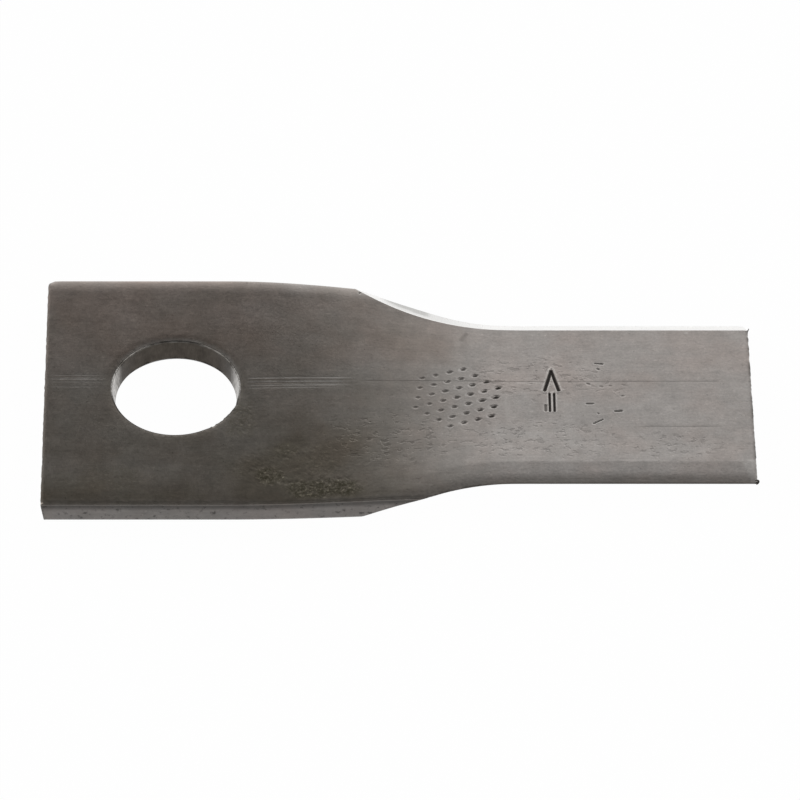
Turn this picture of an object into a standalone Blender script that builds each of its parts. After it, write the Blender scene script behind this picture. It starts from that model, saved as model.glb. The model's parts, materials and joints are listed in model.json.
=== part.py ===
"""Rotary mower blade: one piece of flat spring steel, sheared, punched, ground on both long edges and twisted.

Metres, +Z up. The blade is made flat and in the order of the real one: bar, hole, ground edges, twist.
While it is made, the bolt hole's axis is x = 0 and z = 0 is half way through the bar. The wing points
to +X and its leading cutting edge to +Y. At the end the blade moves so that the origin is at the
bottom centre of its box.
"""

import math

import bmesh
import bpy
from mathutils import Matrix, Vector

# Bar stock
BLADE_LENGTH = 0.1102
BAR_WIDTH = 0.048
BAR_THICKNESS = 0.004
TOP_CORNER_RADIUS = 0.0006
UNDER_CORNER_RADIUS = 0.0009
CORNER_SEGMENTS = 4
SHEAR_LEAN = 0.0005  # the sheared ends slope in by this much from the top face to the underside

# Bolt hole, punched from the top
HOLE_DIAMETER = 0.0197  # at the top
HOLE_TO_BUTT = 0.0204
HOLE_OFF_CENTRE = 0.0006  # towards the leading edge
HOLE_TAPER = 0.0004  # the wall closes in by this much on its way down
RIM_ROLL_RADIUS = 0.0003  # the punch draws the top rim in to a round
BREAKOUT_DEPTH = 0.0006  # the last part of the wall tears instead of cutting
BREAKOUT_FLARE = 0.0001
HOLE_STEPS = 72

# Ground edges: the leading one on the top face, the trailing one on the underside
GRIND_ANGLE = math.radians(33.7)
LEADING_GRIND = 0.0080  # from the bar's side to the bevel's inner line
TRAILING_GRIND = 0.0088
LEADING_RUN_OUT = 0.0508  # from the bolt hole to where the straight bevel ends
TRAILING_RUN_OUT = 0.0522
RUN_OUT_RADIUS = 0.0382
RUN_OUT_SWEEP = math.radians(52)
RUN_OUT_STEPS = 26

# Twist of the wing
TWIST_ANGLE = math.radians(7.7)
TWIST_START = 0.0081
TWIST_END = 0.0546
WING_DROP = 0.00137
TWIST_STEPS = 24
WIDTH_STEPS = 8

CUTTER_MARGIN = 0.0012
STEEL_COLOUR = (0.23, 0.215, 0.20, 1.0)
STEEL_ROUGHNESS = 0.42


def clear_scene():
    for obj in list(bpy.data.objects):
        bpy.data.objects.remove(obj, do_unlink=True)


def new_collection(name):
    collection = bpy.data.collections.new(name)
    bpy.context.scene.collection.children.link(collection)
    return collection


def rolled_steel():
    material = bpy.data.materials.new("rolled_steel")
    material.use_nodes = True
    shader = material.node_tree.nodes["Principled BSDF"]
    shader.inputs["Base Color"].default_value = STEEL_COLOUR
    shader.inputs["Metallic"].default_value = 1.0
    shader.inputs["Roughness"].default_value = STEEL_ROUGHNESS
    return material


def object_from(bm, name, collection):
    mesh = bpy.data.meshes.new(name)
    bm.to_mesh(mesh)
    bm.free()
    obj = bpy.data.objects.new(name, mesh)
    collection.objects.link(obj)
    return obj


def hide_as_cutter(obj):
    obj.hide_render = True
    obj.display_type = "WIRE"


def bar_stock():
    """The sheared length of flat bar, with its long corners rolled round."""
    bm = bmesh.new()
    bmesh.ops.create_cube(bm, size=1.0)
    bmesh.ops.scale(bm, vec=(BLADE_LENGTH, BAR_WIDTH, BAR_THICKNESS), verts=bm.verts)
    for vert in bm.verts:
        if vert.co.z < 0:
            vert.co.x -= math.copysign(SHEAR_LEAN, vert.co.x)
    to_hole = Vector((BLADE_LENGTH / 2 - HOLE_TO_BUTT, 0, 0))
    bmesh.ops.translate(bm, vec=to_hole, verts=bm.verts)
    long_edges = [edge for edge in bm.edges if abs(edge.verts[0].co.x - edge.verts[1].co.x) > BLADE_LENGTH / 2]
    above = [edge for edge in long_edges if edge.verts[0].co.z > 0]
    below = [edge for edge in long_edges if edge.verts[0].co.z < 0]
    round_edges(bm, above, TOP_CORNER_RADIUS)
    round_edges(bm, below, UNDER_CORNER_RADIUS)
    return bm


def round_edges(bm, edges, radius):
    bmesh.ops.bevel(
        bm,
        geom=edges,
        offset=radius,
        offset_type="OFFSET",
        segments=CORNER_SEGMENTS,
        profile=0.5,
        affect="EDGES",
        material=-1,
    )


def punch(collection):
    """The hole's outline as a turned body: rolled rim on top, tapered wall, torn flare below."""
    radius = HOLE_DIAMETER / 2
    narrow = radius - HOLE_TAPER
    top = BAR_THICKNESS / 2
    rim_steps = 5
    outline = [(0, top + CUTTER_MARGIN), (radius + RIM_ROLL_RADIUS, top + CUTTER_MARGIN)]
    for step in range(rim_steps + 1):
        turn = math.pi / 2 * step / rim_steps
        out = radius + RIM_ROLL_RADIUS * (1 - math.sin(turn))
        down = top - RIM_ROLL_RADIUS * (1 - math.cos(turn))
        outline.append((out, down))
    outline.append((narrow, -top + BREAKOUT_DEPTH))
    outline.append((narrow + BREAKOUT_FLARE, -top))
    outline.append((narrow + BREAKOUT_FLARE, -top - CUTTER_MARGIN))
    outline.append((0, -top - CUTTER_MARGIN))
    bm = bmesh.new()
    verts = [bm.verts.new((x, 0, z)) for x, z in outline]
    for first, second in zip(verts, verts[1:]):
        bm.edges.new((first, second))
    obj = object_from(bm, "punch", collection)
    obj.location = (0, HOLE_OFF_CENTRE, 0)
    turned = obj.modifiers.new("turned", "SCREW")
    turned.steps = HOLE_STEPS
    turned.render_steps = HOLE_STEPS
    turned.use_merge_vertices = True
    turned.merge_threshold = 0.000001
    hide_as_cutter(obj)
    return obj


def grinding_sweep(name, grind, run_out, collection):
    """What the wheel removes from the leading edge: one section swept straight, then out along an arc."""
    top = BAR_THICKNESS / 2 + CUTTER_MARGIN
    side = BAR_WIDTH / 2
    slope = math.tan(GRIND_ANGLE)
    line = side - grind
    arc_centre = Vector((run_out, line + RUN_OUT_RADIUS, 0))
    section = [
        (line - CUTTER_MARGIN / slope, top),
        (line + (BAR_THICKNESS + CUTTER_MARGIN) / slope, -top),
        (side + CUTTER_MARGIN, -top),
        (side + CUTTER_MARGIN, top),
    ]
    bm = bmesh.new()
    face = bm.faces.new([bm.verts.new((run_out, y, z)) for y, z in section])
    straight = bmesh.ops.extrude_face_region(bm, geom=[face], use_keep_orig=True)
    past_the_tip = BLADE_LENGTH - HOLE_TO_BUTT + CUTTER_MARGIN - run_out
    moved = [item for item in straight["geom"] if isinstance(item, bmesh.types.BMVert)]
    bmesh.ops.translate(bm, vec=(past_the_tip, 0, 0), verts=moved)
    start = [item for item in bm.faces if all(abs(v.co.x - run_out) < 1e-9 for v in item.verts)]
    bmesh.ops.spin(
        bm,
        geom=start,
        cent=arc_centre,
        axis=(0, 0, 1),
        angle=-RUN_OUT_SWEEP,
        steps=RUN_OUT_STEPS,
        use_merge=False,
    )
    inner = [item for item in bm.faces if all(abs(v.co.x - run_out) < 1e-9 for v in item.verts)]
    bmesh.ops.delete(bm, geom=inner, context="FACES_ONLY")
    bmesh.ops.remove_doubles(bm, verts=bm.verts, dist=1e-7)
    bmesh.ops.recalc_face_normals(bm, faces=bm.faces)
    obj = object_from(bm, name, collection)
    hide_as_cutter(obj)
    return obj


def cut(obj, cutter):
    modifier = obj.modifiers.new(cutter.name, "BOOLEAN")
    modifier.operation = "DIFFERENCE"
    modifier.solver = "EXACT"
    modifier.object = cutter


def evaluated_bmesh(obj):
    graph = bpy.context.evaluated_depsgraph_get()
    mesh = bpy.data.meshes.new_from_object(obj.evaluated_get(graph))
    bm = bmesh.new()
    bm.from_mesh(mesh)
    bpy.data.meshes.remove(mesh)
    return bm


def slice_across(bm, place, normal):
    bmesh.ops.bisect_plane(
        bm, geom=bm.verts[:] + bm.edges[:] + bm.faces[:], dist=1e-7, plane_co=place, plane_no=normal
    )


def slice_for_twist(bm):
    """Cross lines where the steel turns, and long lines that keep the turned faces true."""
    for step in range(TWIST_STEPS + 1):
        x = TWIST_START + (TWIST_END - TWIST_START) * step / TWIST_STEPS
        slice_across(bm, (x, 0, 0), (1, 0, 0))
    for step in range(1, WIDTH_STEPS):
        y = BAR_WIDTH * (step / WIDTH_STEPS - 0.5)
        slice_across(bm, (0, y, 0), (0, 1, 0))
    bmesh.ops.triangulate(bm, faces=bm.faces[:], quad_method="SHORT_EDGE", ngon_method="BEAUTY")


def eased(x):
    """0 at the hole end, 1 on the wing, with a smooth start and stop."""
    share = min(max((x - TWIST_START) / (TWIST_END - TWIST_START), 0.0), 1.0)
    return share * share * (3 - 2 * share)


def twist_wing(bm):
    """Each cross section turns about the bar's long axis, leading edge down, and sinks a little."""
    for vert in bm.verts:
        share = eased(vert.co.x)
        turn = Matrix.Rotation(-TWIST_ANGLE * share, 3, "X")
        vert.co = turn @ vert.co - Vector((0, 0, WING_DROP * share))


def stand_on_origin(bm):
    low = Vector(min(vert.co[axis] for vert in bm.verts) for axis in range(3))
    high = Vector(max(vert.co[axis] for vert in bm.verts) for axis in range(3))
    middle = (low + high) / 2
    bmesh.ops.translate(bm, vec=(-middle.x, -middle.y, -low.z), verts=bm.verts)


def shade(obj, material):
    obj.data.materials.append(material)
    obj.data.shade_smooth()
    obj.data.set_sharp_from_angle(angle=math.radians(20))


def main():
    clear_scene()
    blades = new_collection("rotary_mower_blade")
    cutters = new_collection("cutters")
    blade = object_from(bar_stock(), "blade", blades)
    leading = grinding_sweep("leading_grind", LEADING_GRIND, LEADING_RUN_OUT, cutters)
    trailing = grinding_sweep("trailing_grind", TRAILING_GRIND, TRAILING_RUN_OUT, cutters)
    trailing.rotation_euler = (math.pi, 0, 0)
    for cutter in (punch(cutters), leading, trailing):
        cut(blade, cutter)
    bpy.context.view_layer.update()
    bm = evaluated_bmesh(blade)
    blade.modifiers.clear()
    slice_for_twist(bm)
    twist_wing(bm)
    stand_on_origin(bm)
    bm.to_mesh(blade.data)
    bm.free()
    shade(blade, rolled_steel())


main()
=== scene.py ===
"""The looks of the rotary mower blade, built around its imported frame.

Metres, in the row frame: +X along the blade to the wing's tip, +Y to the leading cutting edge, +Z up.
The finished blade is made flat and in the order of the real one: bar, ground edges, hole, stamping and
wear, twist. While it is flat, x = 0 and z = 0 are the bolt hole's axis and the bar's middle, and every
size below that is called flat is measured there.
"""

import json
import math

import bmesh
import bpy
from bpy.props import FloatProperty, FloatVectorProperty, PointerProperty
from mathutils import Matrix, Vector, noise


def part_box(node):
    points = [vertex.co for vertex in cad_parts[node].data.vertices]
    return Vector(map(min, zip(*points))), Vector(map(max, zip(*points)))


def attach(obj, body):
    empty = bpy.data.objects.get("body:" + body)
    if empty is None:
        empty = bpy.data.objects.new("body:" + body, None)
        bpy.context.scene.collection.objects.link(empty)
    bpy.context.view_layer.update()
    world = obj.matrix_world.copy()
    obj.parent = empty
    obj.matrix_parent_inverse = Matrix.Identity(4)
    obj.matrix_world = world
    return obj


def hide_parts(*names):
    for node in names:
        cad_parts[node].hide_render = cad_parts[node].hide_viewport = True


bl_info = {
    "name": "Rotary mower blade",
    "version": (1, 0, 0),
    "blender": (4, 5, 0),
    "location": "3D Viewport > Sidebar > Mower Blade",
    "description": "Makes a finished rotary mower blade and the studio that it lies in",
    "category": "Object",
}

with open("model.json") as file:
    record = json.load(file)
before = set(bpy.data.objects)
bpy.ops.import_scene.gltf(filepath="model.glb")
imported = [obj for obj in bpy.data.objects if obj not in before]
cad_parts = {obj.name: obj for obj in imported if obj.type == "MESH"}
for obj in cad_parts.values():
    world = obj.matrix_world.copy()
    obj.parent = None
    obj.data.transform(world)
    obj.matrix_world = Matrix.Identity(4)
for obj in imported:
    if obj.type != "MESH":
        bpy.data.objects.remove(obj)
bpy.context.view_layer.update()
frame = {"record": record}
NODE = "blade"
NODE_LOW, NODE_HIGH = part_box(NODE)
FLAT_TOP = next(mount for mount in frame["record"]["mounts"] if mount["name"] == "clamp_face_top")["pos_m"][2]

# Material slots of the blade's mesh
ROLLED, GROUND, PUNCHED, SHEARED = range(4)


class BladeSizes(bpy.types.PropertyGroup):
    """The blade's real sizes, the same as those of its solid."""

    length: FloatProperty(
        name="Length", description="Overall length", default=NODE_HIGH.x - NODE_LOW.x, unit="LENGTH"
    )
    width: FloatProperty(name="Bar width", description="Width of the flat bar", default=0.048, unit="LENGTH")
    thickness: FloatProperty(
        name="Thickness", description="Thickness of the flat bar", default=0.004, unit="LENGTH"
    )
    top_corner: FloatProperty(
        name="Top corner radius", description="Radius of the long edges above",
        default=0.0006, unit="LENGTH",
    )
    under_corner: FloatProperty(
        name="Under corner radius", description="Radius of the long edges below",
        default=0.0009, unit="LENGTH",
    )
    shear_lean: FloatProperty(
        name="Shear lean", description="How far the sheared ends slope in", default=0.0005, unit="LENGTH"
    )
    hole_diameter: FloatProperty(
        name="Hole diameter", description="Diameter of the bolt hole at the top",
        default=0.0197, unit="LENGTH",
    )
    hole_to_butt: FloatProperty(
        name="Hole to butt end", description="From the hole's centre to the butt end",
        default=0.0204, unit="LENGTH",
    )
    hole_off_centre: FloatProperty(
        name="Hole off centre", description="Towards the leading edge", default=0.0006, unit="LENGTH"
    )
    hole_taper: FloatProperty(
        name="Hole taper", description="How much its wall closes in on its way down",
        default=0.0004, unit="LENGTH",
    )
    grind_angle: FloatProperty(
        name="Grind angle", description="Angle of the ground edges",
        default=math.radians(33.7), unit="ROTATION",
    )
    leading_grind: FloatProperty(
        name="Leading grind", description="From the bar's side to the bevel's line",
        default=0.008, unit="LENGTH",
    )
    trailing_grind: FloatProperty(
        name="Trailing grind", description="From the bar's side to the bevel's line",
        default=0.0088, unit="LENGTH",
    )
    leading_run_out: FloatProperty(
        name="Leading run-out", description="From the hole to the straight bevel",
        default=0.0508, unit="LENGTH",
    )
    trailing_run_out: FloatProperty(
        name="Trailing run-out", description="From the hole to the straight bevel",
        default=0.0522, unit="LENGTH",
    )
    run_out_radius: FloatProperty(
        name="Run-out radius", description="Radius of the ground run-outs", default=0.0382, unit="LENGTH"
    )
    twist: FloatProperty(
        name="Twist", description="Turn of the wing, leading edge down",
        default=math.radians(7.7), unit="ROTATION",
    )
    twist_start: FloatProperty(
        name="Twist start", description="From the hole to the twist's start", default=0.0081, unit="LENGTH"
    )
    twist_end: FloatProperty(
        name="Twist end", description="From the hole to the twist's end", default=0.0546, unit="LENGTH"
    )
    wing_drop: FloatProperty(
        name="Wing drop", description="How far the wing sinks", default=0.00137, unit="LENGTH"
    )


class BladeFinish(bpy.types.PropertyGroup):
    """The colours and the gloss of the steel."""

    scale_red: FloatVectorProperty(
        name="Red scale", description="Warmer patches of mill scale",
        subtype="COLOR", default=(0.535, 0.455, 0.415),
    )
    scale_green: FloatVectorProperty(
        name="Green scale", description="Cooler patches of mill scale",
        subtype="COLOR", default=(0.497, 0.467, 0.444),
    )
    # Tint of the darkening mask; where the mask is lowered beside the long sides the steel shows painted
    # highlights
    darkening_tint: FloatVectorProperty(
        name="Grime", description="What oily grime leaves of the light",
        subtype="COLOR", default=(0.477, 0.452, 0.39),
    )
    dirt_colour: FloatVectorProperty(
        name="Dirty scale", description="Old scale in the pitted patches",
        subtype="COLOR", default=(0.075, 0.068, 0.045),
    )
    spark_colour: FloatVectorProperty(
        name="Scale sparks", description="Light grains in the dirty scale",
        subtype="COLOR", default=(0.58, 0.53, 0.38),
    )
    # Also the colour of the painted highlight towards both ends of the hole's wall
    rubbed_and_highlight_colour: FloatVectorProperty(
        name="Rubbed steel", description="Edges and lips rubbed bright",
        subtype="COLOR", default=(0.8, 0.775, 0.74),
    )
    ground_colour: FloatVectorProperty(
        name="Ground steel", description="Bright ground edges", subtype="COLOR", default=(0.97, 0.96, 0.94)
    )
    # Colour of the hole's wall, dark partly as painted shade of the shadowed floor under the blade that it
    # mirrors
    punched_colour_and_shade: FloatVectorProperty(
        name="Punched wall", description="Wall of the bolt hole",
        subtype="COLOR", default=(0.06, 0.052, 0.044),
    )
    sheared_colour: FloatVectorProperty(
        name="Sheared end", description="The two sheared ends", subtype="COLOR", default=(0.21, 0.195, 0.18)
    )
    soot_colour: FloatVectorProperty(
        name="Soot", description="Dirt in stamped marks and pits",
        subtype="COLOR", default=(0.045, 0.04, 0.036),
    )
    scale_roughness: FloatProperty(
        name="Rolled roughness", description="Roughness of the rolled faces", default=0.33, min=0.0, max=1.0
    )
    ground_roughness: FloatProperty(
        name="Ground roughness", description="Roughness of the ground edges", default=0.3, min=0.0, max=1.0
    )


class StudioSettings(bpy.types.PropertyGroup):
    """The camera and the light."""

    lens: FloatProperty(name="Lens", description="Focal length in millimetres", default=337.5)
    camera_distance: FloatProperty(
        name="Camera distance", description="From the camera to the blade", default=1.1688, unit="LENGTH"
    )
    camera_height: FloatProperty(
        name="Camera elevation", description="Above the horizon",
        default=math.radians(47.202), unit="ROTATION",
    )
    camera_turn: FloatProperty(
        name="Camera azimuth", description="About the upright",
        default=math.radians(-0.619), unit="ROTATION",
    )
    camera_roll: FloatProperty(
        name="Camera roll", description="About the line of sight",
        default=math.radians(0.462), unit="ROTATION",
    )
    side_power: FloatProperty(
        name="Side lights", description="Power of each soft light at the blade's ends, in watts",
        default=5.25,
    )
    wall_light: FloatProperty(
        name="Wall light", description="Brightness of the studio's pale walls", default=1.2
    )


class MowerBladeSettings(bpy.types.PropertyGroup):
    """All that the panel shows."""

    sizes: PointerProperty(type=BladeSizes)
    finish: PointerProperty(type=BladeFinish)
    studio: PointerProperty(type=StudioSettings)


# Shape of the flat blade

CORNER_SEGMENTS = 6
KNIFE_NOSE = 0.00012
CUTTER_MARGIN = 0.0012
RUN_OUT_SWEEP = math.radians(52)
RUN_OUT_STEPS = 52
RIM_ROLL = 0.0003
RIM_STEPS = 6
BREAKOUT_DEPTH = 0.0006
BREAKOUT_FLARE = 0.00036
HOLE_STEPS = 120
SHARP_ANGLE = math.radians(20)
KNIFE_ANGLE = math.radians(125)
END_FACING = 0.9  # a face whose normal has this much of X belongs to an end
TOP_FACING = 0.999  # and one with this much of Z to the flat top

# Points this close are one
SAME_PLACE = 0.000001
WELD = 1e-7
FINE_WELD = 1e-8
ON_PLANE = 1e-9


def new_object(bm, name, materials):
    mesh = bpy.data.meshes.new(name)
    bm.to_mesh(mesh)
    bm.free()
    for material in materials:
        mesh.materials.append(material)
    obj = bpy.data.objects.new(name, mesh)
    bpy.context.scene.collection.objects.link(obj)
    return obj


def bar_stock(sizes):
    """The sheared length of flat bar, its long corners rolled round."""
    bm = bmesh.new()
    bmesh.ops.create_cube(bm, size=1.0)
    bmesh.ops.scale(bm, vec=(sizes.length, sizes.width, sizes.thickness), verts=bm.verts)
    for vert in bm.verts:
        if vert.co.z < 0:
            vert.co.x -= math.copysign(sizes.shear_lean, vert.co.x)
    bmesh.ops.translate(bm, vec=(sizes.length / 2 - sizes.hole_to_butt, 0, 0), verts=bm.verts)
    for face in bm.faces:
        if abs(face.normal.x) > END_FACING:
            face.material_index = SHEARED
    long_edges = [edge for edge in bm.edges if edge.calc_length() > sizes.length / 2]
    above = [edge for edge in long_edges if edge.verts[0].co.z > 0]
    below = [edge for edge in long_edges if edge not in above]
    round_edges(bm, above, sizes.top_corner, CORNER_SEGMENTS)
    round_edges(bm, below, sizes.under_corner, CORNER_SEGMENTS)
    return bm


def round_edges(bm, edges, radius, segments):
    settings = {"offset_type": "OFFSET", "profile": 0.5, "affect": "EDGES", "material": -1}
    bmesh.ops.bevel(bm, geom=edges, offset=radius, segments=segments, **settings)


def punch(sizes):
    """The punch that makes the bolt hole: rolled rim, tapered wall and the flare where the slug broke out."""
    radius = sizes.hole_diameter / 2
    narrow = radius - sizes.hole_taper
    top = sizes.thickness / 2
    outline = [(0, top + CUTTER_MARGIN), (radius + RIM_ROLL, top + CUTTER_MARGIN)]
    for step in range(RIM_STEPS + 1):
        turn = math.pi / 2 * step / RIM_STEPS
        outline.append((radius + RIM_ROLL * (1 - math.sin(turn)), top - RIM_ROLL * (1 - math.cos(turn))))
    outline.append((narrow, -top + BREAKOUT_DEPTH))
    outline.append((narrow + BREAKOUT_FLARE, -top))
    outline.append((narrow + BREAKOUT_FLARE, -top - CUTTER_MARGIN))
    outline.append((0, -top - CUTTER_MARGIN))
    bm = bmesh.new()
    verts = [bm.verts.new((x, 0, z)) for x, z in outline]
    edges = [bm.edges.new(pair) for pair in zip(verts, verts[1:])]
    turn = {"cent": (0, 0, 0), "axis": (0, 0, 1), "angle": math.tau}
    bmesh.ops.spin(bm, geom=verts + edges, steps=HOLE_STEPS, use_merge=True, **turn)
    bmesh.ops.remove_doubles(bm, verts=bm.verts, dist=WELD)
    bmesh.ops.recalc_face_normals(bm, faces=bm.faces)
    bmesh.ops.translate(bm, vec=(0, sizes.hole_off_centre, 0), verts=bm.verts)
    for face in bm.faces:
        face.material_index = PUNCHED
    return bm


def grinding_sweep(sizes, grind, run_out):
    """What the wheel takes off an edge: one section swept along the wing, then out along an arc."""
    top = sizes.thickness / 2 + CUTTER_MARGIN
    side = sizes.width / 2
    slope = math.tan(sizes.grind_angle)
    line = side - grind
    arc_centre = Vector((run_out, line + sizes.run_out_radius, 0))
    section = [
        (line - CUTTER_MARGIN / slope, top),
        (line + (sizes.thickness + CUTTER_MARGIN) / slope, -top),
        (side + CUTTER_MARGIN, -top),
        (side + CUTTER_MARGIN, top),
    ]
    bm = bmesh.new()

    def at_run_out():
        return [face for face in bm.faces if all(abs(v.co.x - run_out) < ON_PLANE for v in face.verts)]

    face = bm.faces.new([bm.verts.new((run_out, y, z)) for y, z in section])
    straight = bmesh.ops.extrude_face_region(bm, geom=[face], use_keep_orig=True)
    past_the_tip = sizes.length - sizes.hole_to_butt + CUTTER_MARGIN - run_out
    moved = [item for item in straight["geom"] if isinstance(item, bmesh.types.BMVert)]
    bmesh.ops.translate(bm, vec=(past_the_tip, 0, 0), verts=moved)
    turn = {"cent": arc_centre, "axis": (0, 0, 1), "angle": -RUN_OUT_SWEEP}
    bmesh.ops.spin(bm, geom=at_run_out(), steps=RUN_OUT_STEPS, use_merge=False, **turn)
    bmesh.ops.delete(bm, geom=at_run_out(), context="FACES_ONLY")
    bmesh.ops.remove_doubles(bm, verts=bm.verts, dist=WELD)
    bmesh.ops.recalc_face_normals(bm, faces=bm.faces)
    for face in bm.faces:
        face.material_index = GROUND
    return bm


def cut_blank(sizes, materials):
    """The flat blank with its hole and both ground edges, as a bmesh."""
    blank = new_object(bar_stock(sizes), "blank", materials)
    trailing = grinding_sweep(sizes, sizes.trailing_grind, sizes.trailing_run_out)
    bmesh.ops.rotate(trailing, cent=(0, 0, 0), matrix=Matrix.Rotation(math.pi, 3, "X"), verts=trailing.verts)
    leading = grinding_sweep(sizes, sizes.leading_grind, sizes.leading_run_out)
    tools = {"punch": punch(sizes), "leading_wheel": leading, "trailing_wheel": trailing}
    cutters = [new_object(tool, name, materials) for name, tool in tools.items()]
    for cutter in cutters:
        modifier = blank.modifiers.new(cutter.name, "BOOLEAN")
        modifier.operation = "DIFFERENCE"
        modifier.solver = "EXACT"
        modifier.object = cutter
    graph = bpy.context.evaluated_depsgraph_get()
    mesh = bpy.data.meshes.new_from_object(blank.evaluated_get(graph))
    bm = bmesh.new()
    bm.from_mesh(mesh)
    bpy.data.meshes.remove(mesh)
    for obj in [blank, *cutters]:
        bpy.data.objects.remove(obj, do_unlink=True)
    closed = [edge for edge in bm.edges if len(edge.link_faces) == 2]
    knives = [edge for edge in closed if edge.calc_face_angle() > KNIFE_ANGLE]
    round_edges(bm, knives, KNIFE_NOSE, 2)
    bmesh.ops.remove_doubles(bm, verts=bm.verts, dist=SAME_PLACE)
    return bm


# Fineness of the mesh

GRID_STEP = 0.001
SHORT_EDGE = 0.0004
TOP_CUTS = 1
SHEAR_ROLL_LINES = (0.00012, 0.00025, 0.0004, 0.0006)
# name: (lowest x and y, highest x and y, cuts of each grid cell), flat
FINE_AREAS = {
    "dimples": ((0.0355, -0.009), (0.052, 0.007), 7),
    "arrow": ((0.0556, -0.0052), (0.0616, 0.0075), 9),
    "nicks": ((0.0626, -0.0085), (0.0706, 0.009), 5),
    "smear": ((0.0436, 0.012), (0.0466, 0.016), 4),
    "far_nick": ((0.028, 0.0219), (0.03, 0.0234), 5),
    "bright_spot": ((0.0788, 0.0143), (0.0813, 0.016), 5),
    "scale_patch": ((0.008, -0.0235), (0.035, -0.012), 4),
    "hole_side": ((0.01, -0.011), (0.0166, -0.002), 4),
}


def slice_grid(bm, sizes):
    """Lines a grid step apart both ways, through the whole blank."""
    low = -sizes.hole_to_butt
    places = [low + step * GRID_STEP for step in range(1, math.ceil(sizes.length / GRID_STEP))]
    for from_end in SHEAR_ROLL_LINES:
        places += [low + from_end, low + sizes.length - from_end]
    for x in places:
        slice_all(bm, (x, 0, 0), (1, 0, 0))
    half = sizes.width / 2
    for step in range(1, round(sizes.width / GRID_STEP)):
        slice_all(bm, (0, step * GRID_STEP - half, 0), (0, 1, 0))


def slice_all(bm, place, normal):
    geom = bm.verts[:] + bm.edges[:] + bm.faces[:]
    bmesh.ops.bisect_plane(bm, geom=geom, dist=WELD, plane_co=place, plane_no=normal)


def is_top(face):
    return face.material_index == ROLLED and face.normal.z > TOP_FACING


def inside(point, low, high):
    return low[0] < point.x < high[0] and low[1] < point.y < high[1]


def refine(bm, sizes):
    """Small cells where something is stamped, nicked or pitted, and middling ones on the rest of the top."""
    rest = [face for face in bm.faces if is_top(face)]
    for low, high, cuts in FINE_AREAS.values():
        faces = {face: True for face in rest if inside(face.calc_center_median(), low, high)}
        rest = [face for face in rest if face not in faces]
        split(bm, faces, cuts)
    split(bm, rest, TOP_CUTS)
    slice_roll_marks(bm)
    slice_crease(bm, sizes)
    bmesh.ops.remove_doubles(bm, verts=bm.verts, dist=SAME_PLACE)


def once_each(faces, part):
    """The edges or the corners of these faces, each one once and in a fixed order."""
    return list(dict.fromkeys(item for face in faces for item in getattr(face, part)))


def split(bm, faces, cuts):
    edges = [edge for edge in once_each(faces, "edges") if edge.calc_length() > SHORT_EDGE]
    bmesh.ops.subdivide_edges(bm, edges=edges, cuts=cuts, use_grid_fill=True)


# Stamping and wear, flat

# The direction arrow: an open head over a shaft of two bars
ARROW_TIP = Vector((0.0586, 0.0061))
ARROW_HEAD_LENGTH = 0.0049
ARROW_HEAD_SPREAD = 0.0011
ARROW_SHAFT_TOP = 0.0005
ARROW_SHAFT_LENGTH = 0.0044
ARROW_SHAFT_SPREAD = 0.00036
HEAD_STROKE = 0.00037  # half of a stroke's width
SHAFT_STROKE = 0.00027
ARROW_DEPTH = 0.00022
GHOST_STROKE = ((0.0576, -0.0026), (0.0576, -0.0038), 0.00034, 0.00006)  # where the stamp bounced

# Rubbed steel, some of it pushed up by the stamp: start, end, half width, how bright
RUBBED_STROKES = (
    ((0.057, 0.001), (0.0574, 0.0006), 0.00042, 1.0),
    ((0.06, 0.0008), (0.0604, 0.0013), 0.00042, 1.0),
    ((0.0583, 0.0026), (0.0588, 0.0026), 0.0005, 0.5),
    ((0.08, 0.0153), (0.0801, 0.0153), 0.0004, 1.0),
    ((0.0442, 0.015), (0.0436, 0.008), 0.0012, 0.16),
    ((0.0516, 0.0155), (0.0514, 0.0085), 0.0015, 0.18),
    ((0.0513, -0.001), (0.0516, -0.0065), 0.00035, 0.22),
    ((0.0525, 0.0038), (0.056, 0.0039), 0.0002, 0.55),
    ((0.0528, 0.0029), (0.0568, 0.003), 0.0002, 0.65),
    ((0.048, -0.0125), (0.06, -0.012), 0.007, 0.14),
    ((0.045, 0.0135), (0.052, 0.014), 0.004, 0.1),
)
RUBBED_HEIGHT = 0.000012

# The field of punched dimples, in staggered rows
DIMPLE_CENTRE = Vector((0.0438, -0.0008))
DIMPLE_FIELD_RADIUS = 0.0071
DIMPLE_PITCH = 0.0023
DIMPLE_TURN = math.radians(21)
DIMPLE_LENGTH = 0.00068  # half of a dimple's length
DIMPLE_WIDTH = 0.00048
DIMPLE_SKEW = 0.45
DIMPLE_RAGGED = 0.26
DIMPLE_DEPTH = 0.00015
DIMPLE_FADE = 0.66  # the punch met the steel at a slight tilt, so the left side is this much shallower
DIMPLE_SHRINK = 0.36  # and this much smaller
LIP_MIDDLE, LIP_TILT = 0.3, 0.6  # its lip is bright on the near left side
MARK_REACH = Vector((0.003, 0.006))  # no mark but the dimples goes farther from its start
SOOTY_DEPTH = 0.0001  # a mark of this depth is black with soot
LIP_WIDTH = 0.00022
LIP_SHARE = 0.05  # the steel pushed up round a mark, as a share of the mark's depth
PLATEAU = 0.45  # share of a mark's half width that is its flat bottom

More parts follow.
